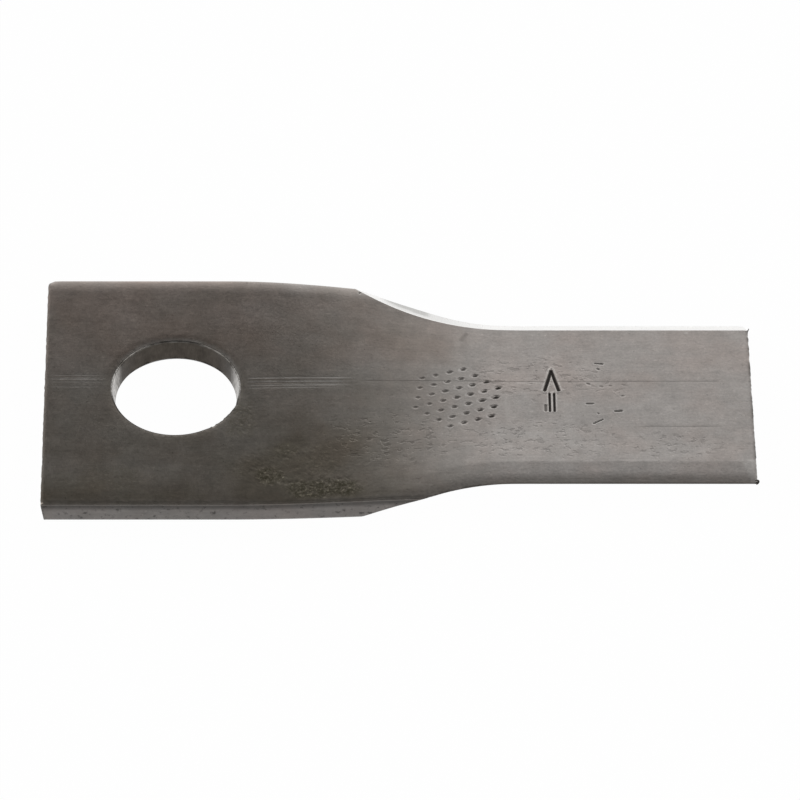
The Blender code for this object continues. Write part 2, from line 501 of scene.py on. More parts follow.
# Nicks and scratches: start, end, half width and depth
NICKS = (
    ((0.0655, 0.0077), (0.0667, 0.0076), 0.00017, 0.00008),
    ((0.0659, 0.0064), (0.0661, 0.0062), 0.00022, 0.00006),
    ((0.0642, 0.0028), (0.0645, 0.0026), 0.00026, 0.00004),
    ((0.0662, 0.0021), (0.0665, 0.002), 0.00026, 0.00003),
    ((0.0676, 0.0022), (0.0679, 0.0022), 0.00024, 0.00003),
    ((0.0639, -0.0022), (0.065, -0.0022), 0.00015, 0.0001),
    ((0.0683, -0.004), (0.0695, -0.0039), 0.00014, 0.00012),
    ((0.0649, -0.007), (0.0664, -0.006), 0.00015, 0.00009),
    ((0.0657, -0.0045), (0.0658, -0.0046), 0.0002, 0.00005),
    ((0.0695, -0.0003), (0.0698, -0.0002), 0.00022, 0.00003),
    ((0.0446, 0.013), (0.0455, 0.0146), 0.0004, 0.000015),
    ((0.0287, 0.0226), (0.0291, 0.0224), 0.00022, 0.0001),
)

# Roll marks run along the bar, a little askew: aside from the path, from x, to x, depth, how rubbed
ROLL_PATH = ((-0.0204, 0.0018), (0.0105, 0.00178), (0.045, 0.00322), (0.087, 0.00336))
ROLL_MARK_HALF_WIDTH = 0.00022
ROLL_MARKS = (
    (0.00138, -0.0204, -0.0098, 0.000012, 0.4),
    (0.00106, -0.0204, -0.0098, 0.000012, 0.0),
    (0.00064, -0.0204, -0.0098, 0.000014, 0.7),
    (0.0, -0.0204, -0.0098, 0.00001, 0.3),
    (-0.00106, -0.0204, -0.0098, 0.000008, 0.4),
    (0.00075, 0.0105, 0.029, 0.000014, 0.9),
    (0.00028, 0.0105, 0.029, 0.000012, 0.0),
    (-0.00004, 0.0105, 0.0285, 0.000012, 0.9),
    (-0.00037, 0.0105, 0.0285, 0.000016, 0.0),
    (-0.0008, 0.0105, 0.0285, 0.000012, 0.8),
    (-0.00135, 0.0105, 0.025, 0.00001, 0.6),
    (0.0, 0.028, 0.087, 0.000008, 0.0),
    (-0.011, 0.071, 0.0865, 0.000005, 0.0),
)
ROLL_MARK_SOOT = 0.32
ROLL_MARK_START, ROLL_MARK_END = 0.002, 0.004  # how far it fades in and out

# The long edges are rolled off before the corner, and the wing's trailing side is drawn down by its grinding
ROLL_OFF_WIDTH = 0.0029
LEADING_ROLL_OFF = math.radians(11)
TRAILING_ROLL_OFF = math.radians(2)
BAND_WIDTH = 0.0051
BAND_CREASE = math.radians(2.0)
CREASE_WIDTH = 0.00012
KNIFE_LINES = (0.00052, 0.0008, 0.0012)  # from the wing's trailing border: soot's end, rub's middle and end
KNIFE_SOOT = 1.0
KNIFE_RUB = 0.17
KNIFE_FADE = 0.004
CREASE_RUB = 0.2
CREASE_RUB_WIDTH = 0.00036
BAND_CURL_WIDTH = 0.0029
BAND_CURL_REACH = 0.0019  # from where the curl starts to where it is steepest
BAND_CURL = math.radians(4.7)
SWELL_WIDTH = 0.013  # the wing swells a little from here to the band
SWELL_SLOPE = math.radians(0.6)
BAND_START = 0.026
BAND_FULL = 0.048
BAND_END_GAP = 0.0024
BAND_END_SLANT = 0.28
BAND_END_RUB = 0.55
BAND_END_FADE = 0.0003

# The shear draws the top face in at both ends before it cuts
SHEAR_ROLL_WIDTH = 0.0006
SHEAR_ROLL_DEPTH = 0.00014
END_SOOT_WIDTH = 0.0006
RAGGED_END = 0.00008
RAG_SIZE = 0.0009

# The punch draws the steel down round the hole, more on the leading side, and chips its rim in one place
DRAW_IN_WIDTH = 0.0019
DRAW_IN_SLOPE = math.radians(10)
RIM_RUB_WIDTH = 0.0011
RIM_RUB = 0.95
CHIPS_FROM = math.radians(-62)
CHIPS_TO = math.radians(-14)
CHIPS_FADE = 0.15
CHIP_DEPTH = 0.0003
CHIP_SIZE = 0.0011

# A knocked corner at the butt end
KNOCK_RADIUS = 0.0013
KNOCK_DEPTH = 0.00035

# Grey streak that the grinding wheel's edge left low on the leading run-out, with a haze over the rest of it:
# from x, to x, below z, and how far each of these borders fades
SCORCH = (0.0312, 0.0405, 0.0012)
SCORCH_FADES = (0.003, 0.0015, 0.001)
HAZE = (0.0312, 0.05, 0.0019)
HAZE_FADES = (0.003, 0.009, 0.0003)
HAZE_SHARE = 0.34

# Wavy pits in the scale: centre, half length, half width
LEAST_PEEL = 0.15
PEEL_PATCHES = (
    ((0.056, -0.011), 0.015, 0.005),
    ((0.077, -0.0125), 0.009, 0.0036),
    ((0.034, -0.0105), 0.0115, 0.0062),
    ((0.056, 0.004), 0.011, 0.006),
    ((0.0672, 0.002), 0.0032, 0.002),
)

# Pitted, dirty scale: centre, half length, half width, depth, how dirty
PIT_PATCHES = (
    ((0.023, -0.021), 0.0078, 0.0023, 0.00005, 1.0),
    ((0.0144, -0.0182), 0.0026, 0.0022, 0.00006, 1.0),
    ((0.017, -0.0128), 0.0026, 0.002, 0.00003, 0.6),
    ((0.018, -0.0165), 0.0105, 0.0052, 0.00002, 0.35),
    ((0.0104, -0.0066), 0.003, 0.004, 0.00003, 0.6),
    ((-0.0105, -0.0186), 0.0065, 0.0036, 0.00001, 0.42),
)
PIT_SIZE = 0.0006
PATCH_RAG_SIZE = 0.004
WAVE_SIZE = 0.007
WAVE_HEIGHT = 0.000007

# Darkening of the hole end, more towards its trailing side: how much at its leading edge, on its leading and
# on its trailing side
DARKENING_FAR_EDGE = 0.4
DARKENING_LEADING = 0.53
DARKENING_TRAILING = 0.73
TRAILING_DARKENING = (0.012, 0.02)  # where it starts to rise, and over how much of the width
FAR_EDGE_DARKENING = (0.01, 0.01)
DARKENING_ENDS, DARKENING_FADE = 0.054, 0.031
RUN_OUT_ENDS, RUN_OUT_FADE = 0.056, 0.014
DARKENING_CLOUDS, CLOUD_SIZE = 0.16, 0.009
# Places with more or less of it: how much, how far in
# Painted highlight: less darkening in a strip beside the leading side, brightening its rolled-off edge
PAINTED_SIDE_HIGHLIGHT = (0.2, 0.0045)
# Painted light: less darkening beside the trailing side, brightening the top corner there
PAINTED_CORNER_LIGHT = (0.32, 0.0018)
BORDER_GRIME = (0.6, 0.0007)
KNIFE_GRIME = (0.42, 0.0028)
RUN_OUT_GRIME = (0.28, 0.0085)
HOLE_GRIME = (0.2, DRAW_IN_WIDTH)
# Smears: start, end, half width, how much
GRIME_SMEARS = (
    ((0.0135, -0.018), (0.027, -0.012), 0.007, 0.3),
    ((0.0125, -0.0165), (0.015, -0.0195), 0.0034, 0.45),
    ((0.014, -0.0165), (0.0188, -0.0118), 0.0042, 0.36),
    ((0.032, 0.0125), (0.041, 0.0125), 0.0075, 0.14),
)

# Warmer scale: centre, half length, half width, how much
LEAST_WARMTH = 0.12
WARM_PATCHES = (
    ((-0.004, 0.015), 0.026, 0.013, 0.85),
    ((0.028, 0.014), 0.024, 0.01, 0.48),
    ((0.0868, 0.0095), 0.005, 0.005, 0.42),
    ((0.065, 0.008), 0.026, 0.011, 0.3),
)


def smoothstep(value):
    value = min(max(value, 0.0), 1.0)
    return value * value * (3 - 2 * value)


def roll_mark_line(x, aside):
    """Where a roll mark runs, at this place along the blade."""
    for (first_x, first_y), (last_x, last_y) in zip(ROLL_PATH, ROLL_PATH[1:]):
        if x <= last_x:
            break
    return first_y + (last_y - first_y) * (x - first_x) / (last_x - first_x) + aside


def slice_roll_marks(bm):
    """Lines along each roll mark, so that its groove has a middle and two shoulders."""
    for start, end in zip(ROLL_PATH, ROLL_PATH[1:]):
        across = Vector((start[1] - end[1], end[0] - start[0], 0)).normalized()
        for aside, first, last, *_ in ROLL_MARKS:
            first, last = max(first, start[0]), min(last, end[0])
            for shoulder in (-1, -0.5, 0, 0.5, 1):
                place = (start[0], start[1] + aside + shoulder * ROLL_MARK_HALF_WIDTH, 0)
                near = [face for face in bm.faces if near_roll_mark(face, first, last, aside)]
                slice_faces(bm, near, place, across)


def slice_faces(bm, faces, place, normal):
    geom = once_each(faces, "verts") + once_each(faces, "edges") + faces
    bmesh.ops.bisect_plane(bm, geom=geom, dist=FINE_WELD, plane_co=place, plane_no=normal)


def slice_crease(bm, sizes):
    """Lines along the wing's trailing border: two that keep the band's crease crisp, and the knife's."""
    border = -trailing_edge(sizes.length, sizes)
    for from_border in (BAND_WIDTH - CREASE_WIDTH, BAND_WIDTH + CREASE_WIDTH, *KNIFE_LINES):
        faces = [face for face in bm.faces if is_top(face) and face.calc_center_median().x > BAND_FULL]
        slice_faces(bm, faces, (0, border + from_border, 0), (0, 1, 0))


def near_roll_mark(face, first, last, aside):
    middle = face.calc_center_median()
    near = first < middle.x < last and abs(middle.y - roll_mark_line(middle.x, aside)) < GRID_STEP
    return near and is_top(face)


def to_stroke(point, start, end):
    """Distance from a point to the stroke between two others."""
    start, end = Vector(start), Vector(end)
    along = end - start
    share = min(max((point - start).dot(along) / along.length_squared, 0.0), 1.0)
    return (point - start - along * share).length


def groove(distance, half_width, depth):
    """A struck mark at this distance from its middle: (height, how much of a hollow, how much of a lip)."""
    hollow = 1 - smoothstep((distance / half_width - PLATEAU) / (1 - PLATEAU))
    lip = (1 - hollow) * math.exp(-(((distance - half_width * 1.25) / LIP_WIDTH) ** 2) * 4)
    return lip * depth * LIP_SHARE - depth * hollow, hollow, lip


def arrow_strokes():
    left = Vector((-ARROW_HEAD_SPREAD, -ARROW_HEAD_LENGTH))
    right = Vector((ARROW_HEAD_SPREAD, -ARROW_HEAD_LENGTH))
    strokes = [(ARROW_TIP, ARROW_TIP + leg, HEAD_STROKE, ARROW_DEPTH) for leg in (left, right)]
    for side in (-1, 1):
        top = Vector((ARROW_TIP.x + side * ARROW_SHAFT_SPREAD, ARROW_SHAFT_TOP))
        strokes.append((top, top - Vector((0, ARROW_SHAFT_LENGTH)), SHAFT_STROKE, ARROW_DEPTH))
    return [*strokes, GHOST_STROKE]


def dimple_places():
    """Staggered rows inside a round field, with how deep each one was struck and half of its length."""
    row_step = DIMPLE_PITCH * math.sqrt(3) / 2
    reach = math.ceil(DIMPLE_FIELD_RADIUS / row_step)
    turn = Matrix.Rotation(DIMPLE_TURN, 2)
    places = []
    for row in range(-reach, reach + 1):
        for column in range(-reach, reach + 1):
            place = turn @ Vector(((column + 0.5 * (row % 2)) * DIMPLE_PITCH, row * row_step))
            if place.length < DIMPLE_FIELD_RADIUS:
                across = 0.5 - 0.5 * place.x / DIMPLE_FIELD_RADIUS
                depth = DIMPLE_DEPTH * (1 - DIMPLE_FADE * across)
                places.append((DIMPLE_CENTRE + place, depth, DIMPLE_LENGTH * (1 - DIMPLE_SHRINK * across)))
    return places


def struck_marks(point, strokes, dimples):
    """Height, hollowness and lip of the arrow, the dimples and the nicks at a point of the flat top."""
    height, hollow, lip = 0.0, 0.0, 0.0
    marks = []
    for start, end, half_width, depth in [*strokes, *NICKS]:
        if abs(point.x - start[0]) < MARK_REACH.x and abs(point.y - start[1]) < MARK_REACH.y:
            down, share, raised = groove(to_stroke(point, start, end), half_width, depth)
            strength = min(depth / SOOTY_DEPTH, 1.0)
            marks.append((down, share * strength, raised * strength))
    if (point - DIMPLE_CENTRE).length < DIMPLE_FIELD_RADIUS + DIMPLE_LENGTH * 2:
        for place, depth, half_length in dimples:
            aside = point - place
            stretch = Vector((aside.x - DIMPLE_SKEW * aside.y, aside.y * DIMPLE_LENGTH / DIMPLE_WIDTH)).length
            stretch *= 1 + DIMPLE_RAGGED * noise.noise(Vector((point.x, point.y, 0)) / DIMPLE_WIDTH)
            if stretch < DIMPLE_LENGTH * 2:
                down, share, raised = groove(stretch, half_length, depth)
                strength = depth / DIMPLE_DEPTH
                near_left = LIP_MIDDLE - LIP_TILT * (aside.x + aside.y) / DIMPLE_LENGTH
                marks.append((down, share * strength, raised * strength * min(max(near_left, 0.0), 1.0)))
    for start, end, half_width, brightness in RUBBED_STROKES:
        share = brightness * (1 - smoothstep(to_stroke(point, start, end) / half_width))
        marks.append((RUBBED_HEIGHT * share, 0.0, share))
    for down, share, raised in marks:
        height = min(height, down) if down < 0 else height + down
        hollow = max(hollow, share)
        lip = max(lip, raised)
    return height, hollow, lip * (1 - hollow)


def roll_marks(point):
    """Height of the roll marks, the soot in them and how rubbed they are."""
    height, soot, rubbed = 0.0, 0.0, 0.0
    for offset, first, last, depth, rub in ROLL_MARKS:
        fade = smoothstep((point.x - first) / ROLL_MARK_START) * smoothstep((last - point.x) / ROLL_MARK_END)
        distance = abs(point.y - roll_mark_line(point.x, offset))
        share = fade * (1 - smoothstep(distance / ROLL_MARK_HALF_WIDTH))
        height -= depth * share
        soot = max(soot, share * ROLL_MARK_SOOT * (1 - rub))
        rubbed = max(rubbed, share * rub)
    return height, soot, rubbed


def cloud(place, size, roughness=0.8, gap=2.0):
    """Smooth noise around 0 whose largest features are about this size."""
    return noise.fractal(Vector(place) / size, roughness, gap, 3)


def from_patch(point, centre, half_length, half_width):
    """Distance from a patch's centre: 1 on its border."""
    return Vector(((point.x - centre[0]) / half_length, (point.y - centre[1]) / half_width)).length


def soft_patch(point, *patch):
    """1 in the middle of a patch, with a wide soft border."""
    return smoothstep((1.3 - from_patch(point, *patch)) / 0.8)


def ragged_patch(point, *patch):
    """1 in the middle of a patch, with a ragged border."""
    ragged = 0.35 * cloud((point.x, point.y, 0), PATCH_RAG_SIZE)
    return smoothstep((1.15 - from_patch(point, *patch) + ragged) / 0.6)


def pits(point):
    """Height of the pitted scale and how dirty it is."""
    height, dirt = 0.0, 0.0
    for centre, half_length, half_width, depth, dirtiness in PIT_PATCHES:
        share = ragged_patch(point, centre, half_length, half_width)
        if share > 0:
            grain = cloud((point.x, point.y, 0.01), PIT_SIZE, 0.7, 2.1)
            height -= depth * share * smoothstep(grain * 1.6)
            height += depth * 0.35 * share * smoothstep(-grain * 1.6)
            dirt = max(dirt, share * dirtiness)
    return height, dirt


def trailing_edge(x, sizes):
    """Distance from the bar's middle line to the top face's trailing border."""
    reach = sizes.thickness / math.tan(sizes.grind_angle)
    border = sizes.width / 2 - sizes.trailing_grind + reach
    radius = sizes.run_out_radius - reach
    before = min(max(sizes.trailing_run_out - x, 0.0), radius)
    return min(sizes.width / 2, border + radius - math.sqrt(radius**2 - before**2))


def drawn_down(x, y, sizes):
    """How far the long edges are rolled off, and the trailing side of the wing drawn down."""
    to_side = sizes.width / 2 - abs(y)
    drop = 0.0
    if to_side < ROLL_OFF_WIDTH:
        slope = LEADING_ROLL_OFF if y > 0 else TRAILING_ROLL_OFF
        drop += 0.5 * math.tan(slope) / ROLL_OFF_WIDTH * (ROLL_OFF_WIDTH - to_side) ** 2
    to_border = trailing_edge(x, sizes) + y
    if to_border < SWELL_WIDTH:
        on_wing = smoothstep((x - BAND_START) / (BAND_FULL - BAND_START))
        along_swell = min(SWELL_WIDTH - to_border, SWELL_WIDTH - BAND_WIDTH)
        drop -= on_wing * 0.5 * math.tan(SWELL_SLOPE) / (SWELL_WIDTH - BAND_WIDTH) * along_swell**2
    if to_border < BAND_WIDTH:
        band = math.tan(BAND_CREASE) * (BAND_WIDTH - to_border)
        along_curl = BAND_CURL_WIDTH - to_border
        if along_curl > BAND_CURL_REACH:
            band += math.tan(BAND_CURL) * (along_curl - BAND_CURL_REACH / 2)
        elif along_curl > 0:
            band += 0.5 * math.tan(BAND_CURL) / BAND_CURL_REACH * along_curl**2
        drop += band * on_wing
    return drop


def to_end(x, sizes):
    return sizes.length / 2 - abs(x - (sizes.length / 2 - sizes.hole_to_butt))


def sheared_in(x, sizes):
    """How far the shear pulled the top face down beside an end."""
    share = 1 - min(max(to_end(x, sizes) / SHEAR_ROLL_WIDTH, 0.0), 1.0)
    return SHEAR_ROLL_DEPTH * share**2.5


def from_hole(point, sizes):
    """Distance from the hole's wall, and the direction from its axis."""
    away = point - Vector((0, sizes.hole_off_centre))
    return away.length - sizes.hole_diameter / 2, away.normalized()


def drawn_in(point, sizes):
    """How far the punch drew the top face down beside the hole."""
    distance, direction = from_hole(point, sizes)
    if distance > DRAW_IN_WIDTH:
        return 0.0
    slope = math.tan(DRAW_IN_SLOPE) * (0.7 + 0.3 * direction.y)
    return 0.5 * slope / DRAW_IN_WIDTH * (DRAW_IN_WIDTH - max(distance, 0.0)) ** 2


def rim_rub(point, sizes):
    """How rubbed the steel is beside the hole, on its leading side."""
    distance, direction = from_hole(point, sizes)
    return RIM_RUB * (1 - smoothstep(distance / RIM_RUB_WIDTH)) * smoothstep(direction.y * 1.6)


def chipped(point, z, sizes):
    """Move that breaks small chips out of one part of the hole's rim."""
    distance, direction = from_hole(point, sizes)
    turn = math.atan2(direction.y, direction.x)
    if distance > CHIP_SIZE or not CHIPS_FROM < turn < CHIPS_TO:
        return Vector((0, 0))
    ends = smoothstep((turn - CHIPS_FROM) / CHIPS_FADE) * smoothstep((CHIPS_TO - turn) / CHIPS_FADE)
    grain = abs(noise.noise(Vector((point.x, point.y, z * 0.3)) / CHIP_SIZE * 1.3))
    return direction * CHIP_DEPTH * 2 * grain * ends * (1 - max(distance, 0.0) / CHIP_SIZE)


def knocked(x, y, sizes):
    """Share of the knock at the butt end's leading corner."""
    away = Vector((x + sizes.hole_to_butt, y - sizes.width / 2))
    return smoothstep(1 - away.length / KNOCK_RADIUS)


def peel_share(point):
    """How much of an orange peel the scale has here."""
    return max(LEAST_PEEL, *(soft_patch(point, *patch) for patch in PEEL_PATCHES))


def band_rub(point, sizes):
    """The wing's crease is rubbed, and so is the steel past the band's slanted end at the tip."""
    to_crease = trailing_edge(point.x, sizes) + point.y - BAND_WIDTH
    if point.x < BAND_FULL or to_crease > CREASE_RUB_WIDTH:
        return 0.0
    crease = CREASE_RUB * (1 - smoothstep(abs(to_crease) / CREASE_RUB_WIDTH))
    band_end = sizes.length - sizes.hole_to_butt - BAND_END_GAP - BAND_END_SLANT * to_crease
    return max(crease, BAND_END_RUB * smoothstep((point.x - band_end) / BAND_END_FADE))


def knife_line(point, sizes):
    """The soot on the knife's own border and the rubbed line beside it."""
    if point.x < BAND_FULL:
        return 0.0, 0.0
    to_border = trailing_edge(point.x, sizes) + point.y
    soot_end, middle, rub_end = KNIFE_LINES
    fade = smoothstep((point.x - BAND_FULL) / KNIFE_FADE)
    soot = KNIFE_SOOT * (1 - smoothstep(to_border / soot_end))
    rub = KNIFE_RUB * (1 - smoothstep(abs(to_border - middle) / (rub_end - middle)))
    return soot * fade, rub * fade


def beside(distance, place):
    """Fades from this much to nothing within this far."""
    amount, reach = place
    return amount * (1 - smoothstep(distance / reach))


def darkening_and_painted_light_share(point, sizes):
    """Darkening: most on the trailing side of the hole end, in smears there and in a ring round the hole, and
    less beside the leading side and the trailing corner as painted highlights.
    """
    along = smoothstep((DARKENING_ENDS - point.x) / DARKENING_FADE)
    trailing = smoothstep((TRAILING_DARKENING[0] - point.y) / TRAILING_DARKENING[1])
    far_edge = smoothstep((point.y - FAR_EDGE_DARKENING[0]) / FAR_EDGE_DARKENING[1])
    across = DARKENING_LEADING + (DARKENING_TRAILING - DARKENING_LEADING) * trailing
    across -= (DARKENING_LEADING - DARKENING_FAR_EDGE) * far_edge
    # painted highlight along the leading side
    across -= beside(sizes.width / 2 - point.y, PAINTED_SIDE_HIGHLIGHT)
    across += DARKENING_CLOUDS * cloud((point.x, point.y, 0.03), CLOUD_SIZE)
    smear = 0.0
    for start, end, half_width, amount in GRIME_SMEARS:
        smear = max(smear, amount * (1 - smoothstep(to_stroke(point, start, end) / half_width)))
    distance, direction = from_hole(point, sizes)
    ring = beside(distance, HOLE_GRIME) * smoothstep(direction.y + 0.4)
    to_border = trailing_edge(point.x, sizes) + point.y
    border = max(beside(to_border, BORDER_GRIME), beside(to_border, KNIFE_GRIME))
    # painted light beside the trailing corner
    corner = beside(sizes.width / 2 + point.y, PAINTED_CORNER_LIGHT)
    run_out = beside(to_border, RUN_OUT_GRIME) * smoothstep((RUN_OUT_ENDS - point.x) / RUN_OUT_FADE)
    return min(max(along * across + smear + ring + run_out - corner, border, 0.0), 1.0)


def warmth(point):
    """How warm the scale's colour is."""
    return max(LEAST_WARMTH, *(most * soft_patch(point, *patch) for *patch, most in WARM_PATCHES))


def scorched(x, z):
    """How grey the low side of the leading run-out is, with a haze over the rest of it."""
    places = []
    for (first, last, top), (start_fade, end_fade, top_fade) in ((SCORCH, SCORCH_FADES), (HAZE, HAZE_FADES)):
        along = smoothstep((x - first) / start_fade) * smoothstep((last - x) / end_fade)
        places.append(along * smoothstep((top - z) / top_fade))
    streak, haze = places
    return max(streak, HAZE_SHARE * haze)


# What each point of the mesh keeps for the materials
KEPT = ("stamped", "scaled", "rubbed", "grime", "peel", "warm", "height")
TOUCHING = 0.00001


def wear(bm, sizes):
    """Strikes the marks into the flat top, rolls the edges off and keeps what the materials read."""
    kept = {name: bm.verts.layers.float.new(name) for name in KEPT}
    strokes, dimples = arrow_strokes(), dimple_places()
    top = sizes.thickness / 2
    for vert in bm.verts:
        x, y, z = vert.co
        point = Vector((x, y))
        up_share = (z + top) / sizes.thickness
        ragged = cloud((x, y, z), RAG_SIZE, gap=2.2)
        knock = KNOCK_DEPTH * knocked(x, y, sizes) * up_share
        height = -(drawn_down(x, y, sizes) + sheared_in(x, sizes) + drawn_in(point, sizes)) * up_share - knock
        vert.co.x += knock
        if to_end(x, sizes) < TOUCHING:
            vert.co.x += RAGGED_END * ragged
        vert.co.xy += chipped(point, z, sizes)
        if abs(abs(z) - top) < SAME_PLACE:
            height += math.copysign(WAVE_HEIGHT, z) * cloud((x * 0.6, y, z * 5), WAVE_SIZE, gap=2.2)
        if z > top - SAME_PLACE:
            struck, hollow, lip = struck_marks(point, strokes, dimples)
            rolled, soot, rubbed = roll_marks(point)
            knife_soot, knife_rub = knife_line(point, sizes)
            vert[kept["rubbed"]] = max(lip, rubbed, band_rub(point, sizes), knife_rub, rim_rub(point, sizes))
            end_soot = (1 - smoothstep(to_end(x, sizes) / END_SOOT_WIDTH)) * (0.5 + 0.4 * ragged)
            pitted, vert[kept["scaled"]] = pits(point)
            vert[kept["stamped"]] = max(hollow, soot, end_soot, knife_soot)
            height += struck + rolled + pitted
        ground = any(face.material_index == GROUND for face in vert.link_faces)
        if ground and y > sizes.width / 2 - sizes.leading_grind + TOUCHING:
            vert[kept["stamped"]] = max(vert[kept["stamped"]], scorched(x, z))
        vert[kept["height"]] = up_share
        vert[kept["grime"]] = darkening_and_painted_light_share(point, sizes)
        vert[kept["peel"]] = peel_share(point)
        vert[kept["warm"]] = warmth(point)
        vert.co.z += height


# Burrs that the shear left standing at the tip's corners: length, thickness, curl, first turn about Z and Y,
# and how far from its corner each one starts
BURR_SIDES = 10
BURR_STEPS = 9
NEAR_BURR = (0.00125, 0.00046, math.radians(235), math.radians(15), math.radians(-4))
NEAR_BURR_START = (-0.0002, 0.0003, -0.0004)
FAR_BURR = (0.00065, 0.00026, math.radians(50), math.radians(60), math.radians(-5))
FAR_BURR_START = (-0.0001, -0.0001, -0.00025)


def add_burr(bm, place, shape):
    """A tapered sliver that starts along +X, turned to its heading, and curls up and over."""
    length, thickness, curl, heading, pitch = shape
    before = set(bm.faces)
    upright = Matrix.Rotation(math.pi / 2, 4, "Y")
    bmesh.ops.create_circle(bm, cap_ends=True, segments=BURR_SIDES, radius=thickness / 2, matrix=upright)
    end = next(face for face in bm.faces if face not in before)
    centre = Vector((0, 0, 0))
    way = Vector((1, 0, 0))
    turn = Matrix.Rotation(-curl / BURR_STEPS, 3, "Y")
    for step in range(BURR_STEPS):
        made = bmesh.ops.extrude_face_region(bm, geom=[end], use_keep_orig=True)["geom"]
        if step > 0:
            bmesh.ops.delete(bm, geom=[end], context="FACES_ONLY")
        end = next(item for item in made if isinstance(item, bmesh.types.BMFace))
        centre += way * length / BURR_STEPS
        size = 0.96 - 0.02 * step + 0.05 * noise.noise(Vector((step * 1.7, length * 1e4, 0)))
        bmesh.ops.translate(bm, vec=way * length / BURR_STEPS, verts=end.verts)
        bmesh.ops.rotate(bm, cent=centre, matrix=turn, verts=end.verts)
        bmesh.ops.scale(bm, vec=(size,) * 3, space=Matrix.Translation(-centre), verts=end.verts)
        way = turn @ way
    faces = [face for face in bm.faces if face not in before]
    verts = once_each(faces, "verts")
    aim = Matrix.Rotation(heading, 3, "Z") @ Matrix.Rotation(pitch, 3, "Y")
    bmesh.ops.rotate(bm, cent=(0, 0, 0), matrix=aim, verts=verts)
    bmesh.ops.translate(bm, vec=place, verts=verts)
    bmesh.ops.recalc_face_normals(bm, faces=faces)
    for face in faces:
        face.smooth = True
    stamped = bm.verts.layers.float["stamped"]
    for vert in verts:
        vert[stamped] = 0.9


def tip_burrs(bm, sizes):
    tip = sizes.length - sizes.hole_to_butt
    top = sizes.thickness / 2
    near = -trailing_edge(tip, sizes)
    far = sizes.width / 2 - sizes.leading_grind
    add_burr(bm, Vector((tip, near, top)) + Vector(NEAR_BURR_START), NEAR_BURR)
    add_burr(bm, Vector((tip, far, top)) + Vector(FAR_BURR_START), FAR_BURR)


# Twist

def eased(x, sizes):
    """0 at the hole end, 1 on the wing, with a smooth start and stop."""
    share = min(max((x - sizes.twist_start) / (sizes.twist_end - sizes.twist_start), 0.0), 1.0)
    return share * share * (3 - 2 * share)


def twist_wing(bm, sizes):
    """Each cross section turns about the bar's long axis, leading edge down, and sinks a little."""
    for vert in bm.verts:
        share = eased(vert.co.x, sizes)
        turn = Matrix.Rotation(-sizes.twist * share, 3, "X")
        vert.co = turn @ vert.co - Vector((0, 0, sizes.wing_drop * share))


def seat_in_frame(bm, sizes):
    """From the flat blank's origin, on the hole's axis, to the row frame."""
    shift = (NODE_LOW.x + sizes.hole_to_butt, 0, FLAT_TOP - sizes.thickness / 2)
    bmesh.ops.translate(bm, vec=shift, verts=bm.verts)


# Materials

MICRON = 0.000001
MIX_FIRST, MIX_SECOND, MIX_RESULT = 6, 7, 2  # the Mix node's sockets for colours
NOISE_LOW, NOISE_HIGH = 0.3, 0.7  # nearly all of a noise lies between these
SIDE_DULLNESS_AND_SHADE = 0.31  # the bar's long sides keep a duller scale, darkened further as painted shade


def new_steel(name):
    material = bpy.data.materials.new(name)
    material.use_nodes = True
    shader = material.node_tree.nodes["Principled BSDF"]
    shader.inputs["Metallic"].default_value = 1.0
    return material, material.node_tree, shader


def wire(tree, kind, inputs, **settings):
    """Adds a node. Its inputs are plain values, or the sockets that feed them."""
    node = tree.nodes.new(kind)
    for name, value in settings.items():
        setattr(node, name, value)
    for name, value in inputs.items():
        socket = node.inputs[name]
        if isinstance(value, bpy.types.NodeSocket):
            tree.links.new(value, socket)
        else:
            socket.default_value = (*value, 1.0) if socket.type == "RGBA" else value
    return node


def calculate(tree, operation, first, second=0.0):
    return wire(tree, "ShaderNodeMath", {0: first, 1: second}, operation=operation).outputs[0]


def remap(tree, value, low, high, to_low, to_high):
    inputs = {"Value": value, "From Min": low, "From Max": high, "To Min": to_low, "To Max": to_high}
    return wire(tree, "ShaderNodeMapRange", inputs).outputs[0]


def vary(tree, noisy, to_low, to_high):
    """Turns a noise into a value between these two."""
    return remap(tree, noisy, NOISE_LOW, NOISE_HIGH, to_low, to_high)


def grain(tree, size, detail, stretch=(1, 1, 1), roughness=0.55):
    """Noise whose features are about this size, drawn out along the axes whose stretch is over 1."""
    place = wire(tree, "ShaderNodeTexCoord", {}).outputs["Object"]
    scale = tuple(1 / (size * factor) for factor in stretch)
    mapped = wire(tree, "ShaderNodeMapping", {"Vector": place, "Scale": scale}).outputs[0]
    inputs = {"Vector": mapped, "Scale": 1.0, "Detail": detail, "Roughness": roughness}
    return wire(tree, "ShaderNodeTexNoise", inputs).outputs[0]


def kept(tree, name):
    """A value that the wear left on the mesh."""
    return wire(tree, "ShaderNodeAttribute", {}, attribute_name=name).outputs["Fac"]


def blend_colours(tree, factor, first, second):
    inputs = {"Factor": factor, MIX_FIRST: first, MIX_SECOND: second}
    return wire(tree, "ShaderNodeMix", inputs, data_type="RGBA").outputs[MIX_RESULT]


def brighten(tree, colour, factor):
    return wire(tree, "ShaderNodeVectorMath", {0: colour, "Scale": factor}, operation="SCALE").outputs[0]


def bump(tree, shader, height, depth):
    """Gives the surface this height, 0 to 1, as a relief this deep."""
    node = wire(tree, "ShaderNodeBump", {"Height": height, "Distance": depth, "Strength": 1.0})
    tree.links.new(node.outputs[0], shader.inputs["Normal"])


def feed(tree, shader, **sockets):
    for name, value in sockets.items():
        tree.links.new(value, shader.inputs[name.replace("_", " ").title()])


def product(tree, *factors):
    total = factors[0]
    for factor in factors[1:]:
        total = calculate(tree, "MULTIPLY", total, factor)
    return total


